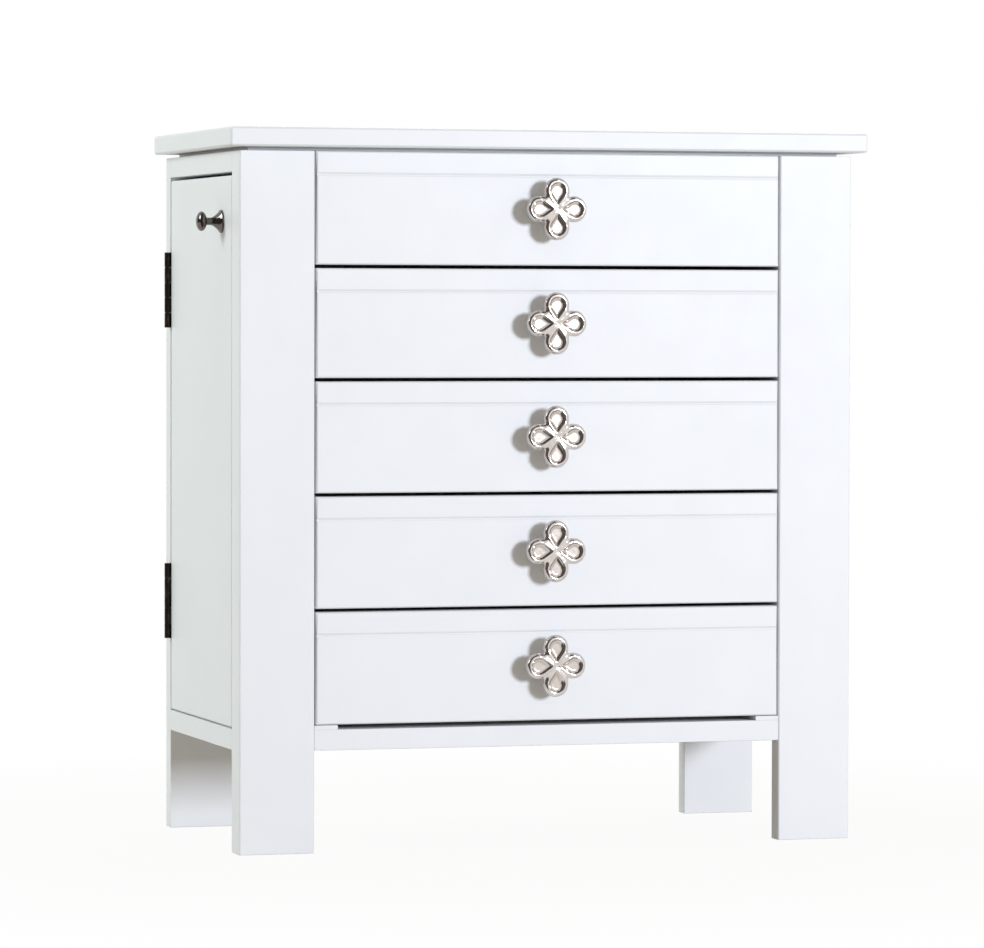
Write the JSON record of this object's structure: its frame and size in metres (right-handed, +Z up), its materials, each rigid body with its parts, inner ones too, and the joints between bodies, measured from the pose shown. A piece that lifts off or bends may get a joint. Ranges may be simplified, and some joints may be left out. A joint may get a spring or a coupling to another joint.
{
  "type": "jewelry chest",
  "caption": "Tabletop jewelry chest with lidded ring tray, a stack of drawers with cast quatrefoil knobs, and a hinged door on each side over a necklace space.",
  "frame": {"origin": "on the floor under the middle of the whole chest's box, knobs and hinges included", "axes": "+X to the right seen from the front, +Y towards the back, +Z up"},
  "size_m": [0.3568, 0.1772, 0.3694],
  "materials": {
    "painted_board": "satin white paint over smooth board, edges slightly eased",
    "bottom_panel": "thin pale panel under the lining",
    "runner_wood": "planed pale hardwood strip, painted where it shows",
    "cast_nickel": "polished, slightly warm nickel plate on a casting",
    "dark_nickel": "polished black nickel plate",
    "bronzed_steel": "dark bronzed steel, low sheen",
    "steel": "bright zinc-plated steel",
    "velvet": "short-pile pale velvet",
    "silvered_glass": "silvered mirror glass",
    "clear_rubber": "soft clear bumper",
    "magnet_case": "moulded white plastic catch case"
  },
  "bodies": {
    "chest": {"front_left_post": "painted_board", "front_right_post": "painted_board", "rear_left_post": "painted_board", "rear_right_post": "painted_board", "bottom_board": "painted_board", "left_partition": "painted_board", "right_partition": "painted_board", "back_panel": "painted_board", "top_board": "painted_board", "top_tray": "painted_board", "tray_lining": "velvet", "tray_dividers": "painted_board", "ring_rolls": "velvet", "drawer_runners": "runner_wood", "door_catches": "magnet_case", "left_necklace_hooks": "steel", "right_necklace_hooks": "steel", "lid_hinge_fixed_leaves": "bronzed_steel", "lid_hinge_pins": "bronzed_steel", "left_door_hinge_fixed_leaves": "bronzed_steel", "left_door_hinge_pins": "bronzed_steel", "right_door_hinge_fixed_leaves": "bronzed_steel", "right_door_hinge_pins": "bronzed_steel", "lid_bumpers": "clear_rubber"},
    "lid": {"lid_panel": "painted_board", "lid_mirror": "silvered_glass", "lid_hinge_moving_leaves": "bronzed_steel"},
    "left_door": {"left_door": "painted_board", "left_door_knob": "dark_nickel", "left_door_strike": "steel", "left_door_hinge_moving_leaves": "bronzed_steel"},
    "right_door": {"right_door": "painted_board", "right_door_knob": "dark_nickel", "right_door_strike": "steel", "right_door_hinge_moving_leaves": "bronzed_steel"},
    "drawer_1": {"drawer_1_front": "painted_board", "drawer_1_box": "painted_board", "drawer_1_bottom": "bottom_panel", "drawer_1_lining": "velvet", "drawer_1_knob": "cast_nickel"},
    "drawer_2": {"drawer_2_front": "painted_board", "drawer_2_box": "painted_board", "drawer_2_bottom": "bottom_panel", "drawer_2_lining": "velvet", "drawer_2_knob": "cast_nickel"},
    "drawer_3": {"drawer_3_front": "painted_board", "drawer_3_box": "painted_board", "drawer_3_bottom": "bottom_panel", "drawer_3_lining": "velvet", "drawer_3_knob": "cast_nickel"},
    "drawer_4": {"drawer_4_front": "painted_board", "drawer_4_box": "painted_board", "drawer_4_bottom": "bottom_panel", "drawer_4_lining": "velvet", "drawer_4_knob": "cast_nickel"},
    "drawer_5": {"drawer_5_front": "painted_board", "drawer_5_box": "painted_board", "drawer_5_bottom": "bottom_panel", "drawer_5_lining": "velvet", "drawer_5_knob": "cast_nickel"}
  },
  "joints": [
    {"name": "lid_hinge", "type": "hinge", "parent": "chest", "child": "lid", "pos_m": [0, 0.087, 0.35865], "axis": [-1, 0, 0], "range_deg": [0, 100]},
    {"name": "left_door_hinge", "type": "hinge", "parent": "chest", "child": "left_door", "pos_m": [-0.1668, 0.0743, 0.2], "axis": [0, 0, -1], "range_deg": [0, 110]},
    {"name": "right_door_hinge", "type": "hinge", "parent": "chest", "child": "right_door", "pos_m": [0.1668, 0.0743, 0.2], "axis": [0, 0, 1], "range_deg": [0, 110]},
    {"name": "drawer_1_slide", "type": "slide", "parent": "chest", "child": "drawer_1", "axis": [0, -1, 0], "range_m": [0, 0.1]},
    {"name": "drawer_2_slide", "type": "slide", "parent": "chest", "child": "drawer_2", "axis": [0, -1, 0], "range_m": [0, 0.1]},
    {"name": "drawer_3_slide", "type": "slide", "parent": "chest", "child": "drawer_3", "axis": [0, -1, 0], "range_m": [0, 0.1]},
    {"name": "drawer_4_slide", "type": "slide", "parent": "chest", "child": "drawer_4", "axis": [0, -1, 0], "range_m": [0, 0.1]},
    {"name": "drawer_5_slide", "type": "slide", "parent": "chest", "child": "drawer_5", "axis": [0, -1, 0], "range_m": [0, 0.1]}
  ]
}
